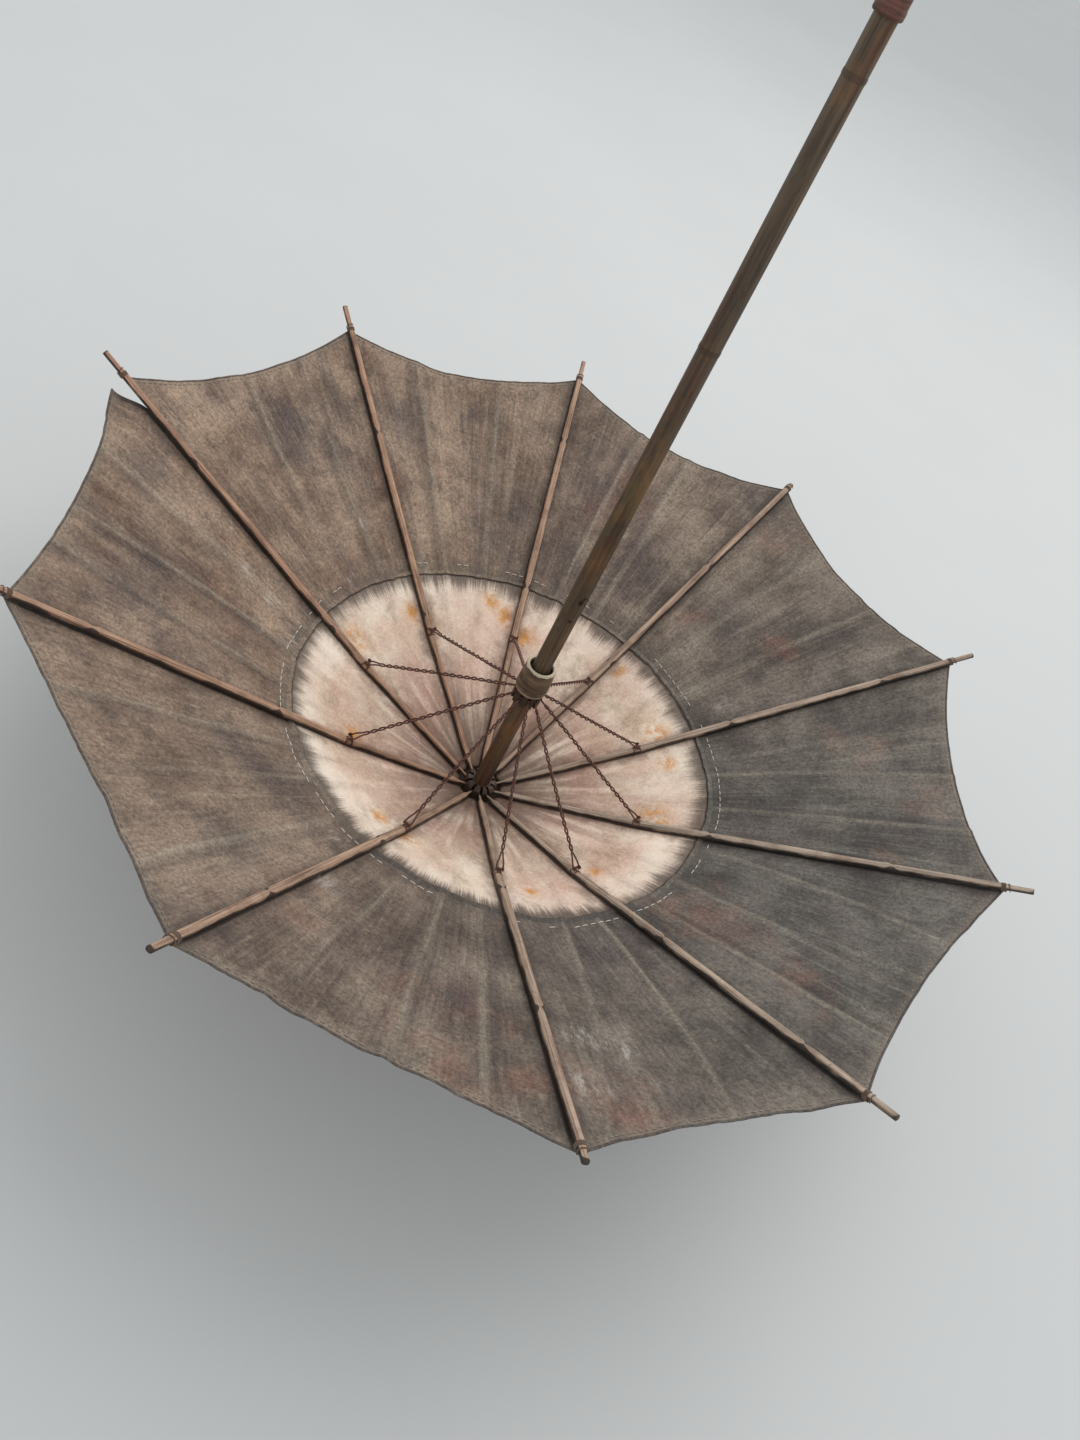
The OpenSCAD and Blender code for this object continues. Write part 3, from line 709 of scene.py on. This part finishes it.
def cloth_sheet(gore, name, r_at, rows, columns, depth, thickness, material, places):
    """A closed thin shell. r_at(side, share) gives the row parameter of a row at a side."""
    upper, flow, polar, edges, marks, cool, stain = [], [], [], [], [], [], []
    for j in range(rows + 1):
        for k in range(columns + 1):
            side = 2 * k / columns - 1
            r = r_at(side, j / rows)
            point = gore.surface(r, side, depth)
            upper.append(point)
            rib_gap = r * math.sin(gore.spread) * (1 - abs(side))
            seam_gap = abs(r - gore.round_line(SEAM_R, side))
            angle = gore.middle + side * gore.spread
            _, crest, flank = gore.crease_marks(r, side)
            flow.append((side * r * math.sin(gore.spread), r * 1.13, gore.i * 0.37))
            polar.append((angle, r, gore.i * 0.21))
            edges.append((rib_gap, gore.hem_line(side) - r, seam_gap))
            marks.append((crest, flank, spotted(point, scuff_spots)))
            cool.append(coolness(point.x, point.y))
            stain.append(spotted(point, places))
    layer = len(upper)
    verts = upper + [p - gore.normal * thickness for p in upper]
    width = columns + 1
    faces = []
    for j in range(rows):
        for k in range(columns):
            a = j * width + k
            faces.append((a, a + width, a + width + 1, a + 1))
            faces.append((a + layer, a + 1 + layer, a + width + 1 + layer, a + width + layer))
    rim = [j * width for j in range(rows)]
    rim += [rows * width + k for k in range(columns)]
    rim += [j * width + columns for j in range(rows, 0, -1)]
    rim += [k for k in range(columns, 0, -1)]
    for n, a in enumerate(rim):
        b = rim[(n + 1) % len(rim)]
        faces.append((b, a, a + layer, b + layer))
    obj = make_object(name, verts, faces, material)
    store(obj, "rest", "FLOAT_VECTOR", [tuple(v) for v in verts])
    for key, values in (("flow", flow), ("polar", polar), ("edges", edges), ("marks", marks)):
        store(obj, key, "FLOAT_VECTOR", values + values)
    store(obj, "cool", "FLOAT", cool + cool)
    store(obj, "stain", "FLOAT", stain + stain)
    return obj


def cloth_strip(name, line, section_at, edges, dark):
    """A rolled or folded strip of the dark cloth along a line; edges as in cloth_sheet."""
    verts, faces = [], []
    add_sweep(verts, faces, line, section_at)
    obj = make_object(name, verts, faces, cloth_look)
    store(obj, "rest", "FLOAT_VECTOR", [tuple(v) for v in verts])
    store(obj, "flow", "FLOAT_VECTOR", [tuple(v) for v in verts])
    polar = [(math.atan2(v.y, v.x), math.hypot(v.x, v.y), 0.3) for v in verts]
    store(obj, "polar", "FLOAT_VECTOR", polar)
    store(obj, "edges", "FLOAT_VECTOR", [edges] * len(verts))
    # crest 0.2 paints a faint highlight over the whole strip, as on the creases; dark darkens the strip
    # through the flank and stain values
    store(obj, "marks", "FLOAT_VECTOR", [(0.2, dark, 0)] * len(verts))
    store(obj, "cool", "FLOAT", [coolness(v.x, v.y) for v in verts])
    store(obj, "stain", "FLOAT", [dark] * len(verts))
    return obj


def seam_wave(gore, side):
    """How far the patch's sewn edge wanders from its circle."""
    angle = gore.middle + side * gore.spread
    return 0.0022 * wobble(angle * 5, 0.5, 2.5) + 0.0008 * wobble(angle * 40, 1.5, 0.5)


def add_dashes(verts, faces, line, length, gap, radius, skip):
    """Short stitches along a line of points; skip(k) leaves stitch k out."""
    total = 0.0
    marks = [0.0]
    for a, b in zip(line, line[1:]):
        total += (b - a).length
        marks.append(total)

    def at(s):
        for k in range(len(marks) - 1):
            if s <= marks[k + 1]:
                t = (s - marks[k]) / max(1e-9, marks[k + 1] - marks[k])
                return line[k].lerp(line[k + 1], t)
        return line[-1]

    count = int(total / (length + gap))
    for k in range(count):
        if skip(k):
            continue
        start = k * (length + gap) + gap / 2
        a, b = at(start), at(start + length)
        middle = (a + b) / 2 + Vector((0, 0, radius * 0.9))
        quarter_a, quarter_b = a.lerp(middle, 0.55), b.lerp(middle, 0.55)
        path = [a, quarter_a, middle, quarter_b, b]
        add_tube(verts, faces, path, radius, 5)


START_R = SEAM_R - 0.008
PATCH_START = 0.024

for gore in gores:
    i = gore.i

    def canopy_row(side, share, gore=gore):
        start = gore.round_line(START_R, side)
        return start + (gore.hem_line(side) - start) * share

    def patch_row(side, share, gore=gore):
        end = gore.round_line(SEAM_R, side) + seam_wave(gore, side)
        return PATCH_START + (end - PATCH_START) * share

    def along(offset, gore=gore):
        """The middle of the seam, moved out by offset, at 97 sides."""
        sides = [s / 48 - 1 for s in range(97)]
        return [
            gore.surface(gore.round_line(SEAM_R, t) + seam_wave(gore, t) + offset, t, CANOPY_DEPTH)
            for t in sides
        ]

    canopy = cloth_sheet(
        gore, f"canopy_cloth_{i}", canopy_row, 84, 88, CANOPY_DEPTH, 0.0006, cloth_look, blotch_spots
    )
    patch = cloth_sheet(
        gore, f"patch_cloth_{i}", patch_row, 60, 56, PATCH_DEPTH, 0.0005, patch_look, rust_spots
    )

    # rolled hem with its running stitch
    hem = [gore.surface(gore.hem_line(s / 48 - 1) - 0.0006, s / 48 - 1, CANOPY_DEPTH) for s in range(97)]
    hem_section = [(1.0 * MM * a, 0.8 * MM * b) for a, b in round_section(1, 8)]
    hem_roll = cloth_strip(
        f"hem_roll_{i}", [p - gore.normal * 0.0003 for p in hem], lambda k: hem_section, (1, 1, 1), 0.9
    )

    verts, faces = [], []
    lift = gore.normal * 0.0003
    line = [
        gore.surface(gore.hem_line(s / 48 - 1) - 0.0046, s / 48 - 1, CANOPY_DEPTH) + lift
        for s in range(2, 95)
    ]
    add_dashes(verts, faces, line, 0.0030, 0.0026, 0.00034, lambda k: wobble(k * 0.9, i, 3) > 0.28)
    hem_stitches = make_object(f"hem_stitches_{i}", verts, faces, hem_look)

    verts, faces = [], []
    line = [p + lift for p in along(0.0125)[3:94]]
    add_dashes(
        verts, faces, line, 0.0052, 0.0030, 0.00040, lambda k: wobble(k * 0.30, i * 2.3, 7) > 0.05
    )
    seam_stitches = make_object(f"seam_stitches_{i}", verts, faces, stitch_look)

    # the flattened seam allowance outside the patch, standing up as a roll between ribs 4 and 5
    def band_section(k, gore=gore):
        angle = gore.middle + (k / 48 - 1) * gore.spread
        wide = 4.3 + 0.9 * wobble(angle * 12, 3, 1) + 0.4 * wobble(angle * 70, 2, 1)
        tall = 0.45 + 0.15 * wobble(angle * 16, 5, 2)
        if gore.i == 4:
            roll = smooth(1.0, 0.7, abs(k / 48 - 1))
            wide -= 1.6 * roll
            tall += 1.5 * roll
        return [(wide * MM * a, tall * MM * b) for a, b in round_section(1, 10)]

    dark = 1.0 if i in (7, 8) else 0.1
    seam_fold = cloth_strip(f"seam_fold_{i}", along(0.0050), band_section, (1, 1, 0.012), dark)

    for piece in (canopy, patch, hem_roll, hem_stitches, seam_stitches, seam_fold):
        gore.settle(piece)
    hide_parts(f"canopy_panel_{i}")
    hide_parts(f"crown_patch_{i}")

    hem_middle = gore.hem_line(0)


# ---------------------------------------------------------------- ribs
def rib_plane(i, r, z, side=0.0):
    """A point from its distance out, its height and its distance to the left of rib i's plane."""
    angle = rib_angle(i)
    return Vector(
        (
            r * math.cos(angle) - side * math.sin(angle),
            r * math.sin(angle) + side * math.cos(angle),
            z,
        )
    )


def rib_at(s):
    """(distance out, height, slope) of a rib's centre line at a distance s along it."""
    if s < inner_length:
        return ring_r + s * math.cos(inner_slope), crown_z + s * math.sin(inner_slope), inner_slope
    t = s - inner_length
    return bend_r + t * math.cos(outer_slope), bend_z + t * math.sin(outer_slope), outer_slope


def rib_path(i):
    """Centre line of rib i as (distance along, r, z)."""
    out = []
    tip_length = (TIP_R + TIP_SHIFT[i - 1] - bend_r) / math.cos(outer_slope)
    total = inner_length + tip_length
    count = 150
    for k in range(count + 1):
        s = total * k / count
        r, z, _ = rib_at(s)
        out.append((s, r, z))
    return out


# distances along each rib of the cane's nodes
CANE_NODES = {
    1: (0.205, 0.405), 2: (0.175, 0.38), 3: (0.22, 0.41), 4: (0.19, 0.36), 5: (0.26, 0.43),
    6: (0.23, 0.40), 7: (0.28, 0.44), 8: (0.185, 0.37), 9: (0.21, 0.39), 10: (0.24, 0.42),
}


def hem_place(i):
    """Distance along rib i of the thread that ties the canopy's corner."""
    return inner_length + (HEM_R + HEM_SHIFT[i - 1] - bend_r) / math.cos(outer_slope) - 0.003


def build_rib(i):
    verts, faces, edge, flow = [], [], [], []
    path = rib_path(i)
    centre = [rib_plane(i, r, z) for _, r, z in path]
    marks = [s for s, _, _ in path]
    seed = i * 5.1
    sides = 16
    tie_s = hem_place(i)

    def section(k):
        s = marks[k]
        half = 1.2 + 1.9 * smooth(0.013, 0.020, s) + 0.9 * smooth(0.12, 0.18, s)
        half *= 1 - 0.16 * smooth(0.30, 0.47, s)
        half *= 1 - 0.22 * smooth(tie_s + 0.002, tie_s + 0.005, s)
        half += 0.16 * wobble(s * 26, seed, 1) + 0.08 * wobble(s * 90, seed, 4)
        for place in CANE_NODES[i]:
            half += 0.45 * math.exp(-(((s - place) / 0.0035) ** 2))
            half -= 0.3 * math.exp(-(((s - place - 0.006) / 0.0015) ** 2))
        top = 0.92 * half if s > 0.02 else 2.2
        points = []
        for j in range(sides):
            turn = 2 * math.pi * j / sides
            a, b = math.cos(turn), math.sin(turn)
            a = math.copysign(abs(a) ** 0.75, a)
            b = math.copysign(abs(b) ** 0.8, b)
            points.append((half * MM * a, (top if b > 0 else 2.15) * MM * b))
        return points

    add_sweep(verts, faces, centre, section)
    # edge: high on the section's sides and underside, for the material's painted shade; higher just past
    # each node
    for k in range(len(centre)):
        for j in range(sides):
            turn = 2 * math.pi * j / sides
            dark = abs(math.cos(turn)) if math.sin(turn) > -0.3 else 1.0
            for place in CANE_NODES[i]:
                dark += 0.7 * math.exp(-(((marks[k] - place - 0.005) / 0.003) ** 2))
            edge.append(dark)
            flow.append((math.cos(turn) * 0.004, marks[k] + i, math.sin(turn) * 0.004))
    # dark, weathered cut at the tip
    for j in range(sides):
        edge[-1 - j] = 1.0
    rib = make_object(f"rib_cane_{i}", verts, faces, rib_look)
    store(rib, "cool", "FLOAT", [coolness(v.x, v.y) for v in verts])
    store(rib, "edge", "FLOAT", edge)
    store(rib, "flow", "FLOAT_VECTOR", flow)
    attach(rib, f"rib_{i}_body")
    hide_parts(f"rib_{i}")


def around_rib(i, s, radius_side, radius_up, turns, pitch, lift=0.0):
    """A wire or thread wound round rib i at a distance s along it."""
    path = []
    count = int(turns * 16)
    for k in range(count + 1):
        turn = 2 * math.pi * k / 16
        r, z, slope = rib_at(s + pitch * (k / 16 - turns / 2))
        up = radius_up * math.sin(turn) + lift
        r -= up * math.sin(slope)
        z += up * math.cos(slope)
        path.append(rib_plane(i, r, z, radius_side * math.cos(turn)))
    return path


def build_ties(i):
    """Thread that ties the canopy's corner to rib i, and wire that binds the stretcher's pin to it."""
    verts, faces = [], []
    hem_s = hem_place(i)
    add_tube(verts, faces, around_rib(i, hem_s, 0.0038, 0.0035, 5, 0.0008, -0.0002), 0.00042, 6)
    loose = around_rib(i, hem_s + 0.003, 0.0039, 0.0036, 1.6, 0.0035, -0.0002)
    add_tube(verts, faces, loose, 0.0004, 6)
    tie = make_object(f"corner_tie_{i}", verts, faces, tie_look)
    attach(tie, f"rib_{i}_body")

    verts, faces = [], []
    for side in (-1, 1):
        turns_of_wire = around_rib(i, inner_length + side * 0.0034, 0.0040, 0.0036, 1.2, 0.0013, 0.0002)
        add_tube(verts, faces, turns_of_wire, 0.0005, 6)
    # arch over the rib that the stretcher's pin turns in
    for side in (-0.0012, 0.0012):
        path = []
        for k in range(13):
            turn = math.pi * k / 12
            along = inner_length - 0.0022 * math.cos(turn)
            up = 0.0036 + (PIN_LIFT - 0.0036 + 0.0013) * math.sin(turn)
            r = ring_r + along * math.cos(inner_slope) - up * math.sin(inner_slope)
            z = crown_z + along * math.sin(inner_slope) + up * math.cos(inner_slope)
            path.append(rib_plane(i, r, z, side))
        add_tube(verts, faces, path, 0.0005, 6)
    binding = make_object(f"pin_binding_{i}", verts, faces, wire_look)
    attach(binding, f"rib_{i}_body")


# ---------------------------------------------------------------- stretchers
FORK_SPREAD = 0.0031


def build_stretcher(i):
    """Two iron wires twisted together, looped on the runner's ring and forked at the rib."""
    verts, faces = [], []
    out = Vector((pin_r - ring_r, 0, pin_z - runner_z)) / arm
    up = Vector((-out.z, 0, out.x))
    seed = i * 2.9
    fork = 0.014

    def place(x, side, height):
        p = Vector((ring_r, 0, runner_z)) + out * x + up * height
        return rib_plane(i, p.x, p.z, side)

    for strand in (0, math.pi):
        path = []
        start, stop = 0.0022, arm - fork
        count = 150
        for k in range(count + 1):
            t = k / count
            x = start + (stop - start) * t
            # narrower inside the runner's slot
            tight = (0.0006 + 0.00055 * smooth(0.007, 0.013, x)) * smooth(0, 0.04, t)
            turn = strand + 2 * math.pi * x / 0.0155 + 0.5 * wobble(x * 40, seed, 2)
            bow = 0.0020 * math.sin(math.pi * t) * wobble(seed, 3.3, 8.1)
            kink = 0.0006 * wobble(x * 60, seed, 5) * math.sin(math.pi * t)
            path.append(place(x, tight * math.cos(turn) + bow, tight * math.sin(turn) + kink))
        side = 1 if math.cos(turn) > 0 else -1
        if strand:
            side = -first_side
        first_side = side
        for k in range(1, 9):
            t = k / 8
            spread = 0.00115 + (FORK_SPREAD - 0.00115) * smooth(0, 0.8, t)
            path.append(place(stop + fork * t, side * spread, 0.0006 * math.sin(math.pi * t)))
        # curl of the wire's end round the pin
        for k in range(1, 9):
            turn = -math.pi / 2 + 2 * math.pi * k / 9
            curl = (arm + 0.0013 * math.cos(turn), side * FORK_SPREAD, 0.0013 + 0.0013 * math.sin(turn))
            path.append(place(*curl))
        add_tube(verts, faces, path, 0.00082, 7)
    pin = [place(arm, (FORK_SPREAD + 0.0006) * (k / 4 - 1), 0.0) for k in range(9)]
    add_tube(verts, faces, pin, 0.00075, 8)
    eye = []
    for k in range(16):
        turn = 2 * math.pi * k / 16
        eye.append(place(0.0016 * math.cos(turn), 0.0, 0.0016 * math.sin(turn)))
    add_tube(verts, faces, eye, 0.0007, 7, closed=True)
    wire = make_object(f"stretcher_wire_{i}", verts, faces, wire_look)
    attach(wire, f"stretcher_{i}_body")
    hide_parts(f"stretcher_{i}")


for i in range(1, RIBS + 1):
    build_rib(i)
    build_ties(i)
    build_stretcher(i)


# ---------------------------------------------------------------- floor, light and camera
def floor_look():
    look = Look("pale_floor", 0.85, 0.2)
    place = look.position()
    colour = look.mix(look.noise(place, 1.3, 5, 0.6), linear(196, 197, 196), linear(205, 206, 205))
    return look.done(colour)


FLOOR_HALF = 60
floor_corners = [(x * FLOOR_HALF, y * FLOOR_HALF, 0) for x, y in ((-1, -1), (1, -1), (1, 1), (-1, 1))]
floor = make_object("floor", floor_corners, [(0, 1, 2, 3)], floor_look(), False)

SKY_COLOUR = (0.95, 0.98, 1.0, 1)
SKY_STRENGTH = 0.86
world = bpy.data.worlds.new("studio")
world.use_nodes = True
world.node_tree.nodes["Background"].inputs["Color"].default_value = SKY_COLOUR
world.node_tree.nodes["Background"].inputs["Strength"].default_value = SKY_STRENGTH
bpy.context.scene.world = world


KEY_PLACE = Vector((-0.6, -1.8, 3.2))
KEY_TARGET = Vector((-0.1, -0.5, 0))
key = bpy.data.lights.new("key", "AREA")
key.shape = "DISK"
key.size = 3.6
key.energy = 52
key.color = (1.0, 0.985, 0.965)
key_object = bpy.data.objects.new("key", key)
key_object.location = KEY_PLACE
key_object.rotation_euler = (KEY_TARGET - KEY_PLACE).to_track_quat("-Z", "Y").to_euler()
bpy.context.scene.collection.objects.link(key_object)

CAMERA_PLACE = Vector((-0.0419, 0.767, 0.8842))
CAMERA_AHEAD = Vector((0.0183, -0.7313, -0.6818)).normalized()
CAMERA_UP = Vector((0.5005, -0.5836, 0.6394))
PHOTO_HEIGHT = 1440
FOCAL_PIXELS = 1083

camera_data = bpy.data.cameras.new("camera")
camera_data.sensor_fit = "VERTICAL"
camera_data.sensor_height = 24
camera_data.lens = FOCAL_PIXELS / PHOTO_HEIGHT * camera_data.sensor_height
camera_data.clip_start = 0.01
camera_data.clip_end = 200
camera = bpy.data.objects.new("camera", camera_data)
right = CAMERA_AHEAD.cross(CAMERA_UP).normalized()
up = right.cross(CAMERA_AHEAD).normalized()
axes = Matrix((right, up, -CAMERA_AHEAD)).transposed()
camera.matrix_world = Matrix.Translation(CAMERA_PLACE) @ axes.to_4x4()
bpy.context.scene.collection.objects.link(camera)
bpy.context.scene.camera = camera
bpy.context.scene.view_settings.view_transform = "Standard"
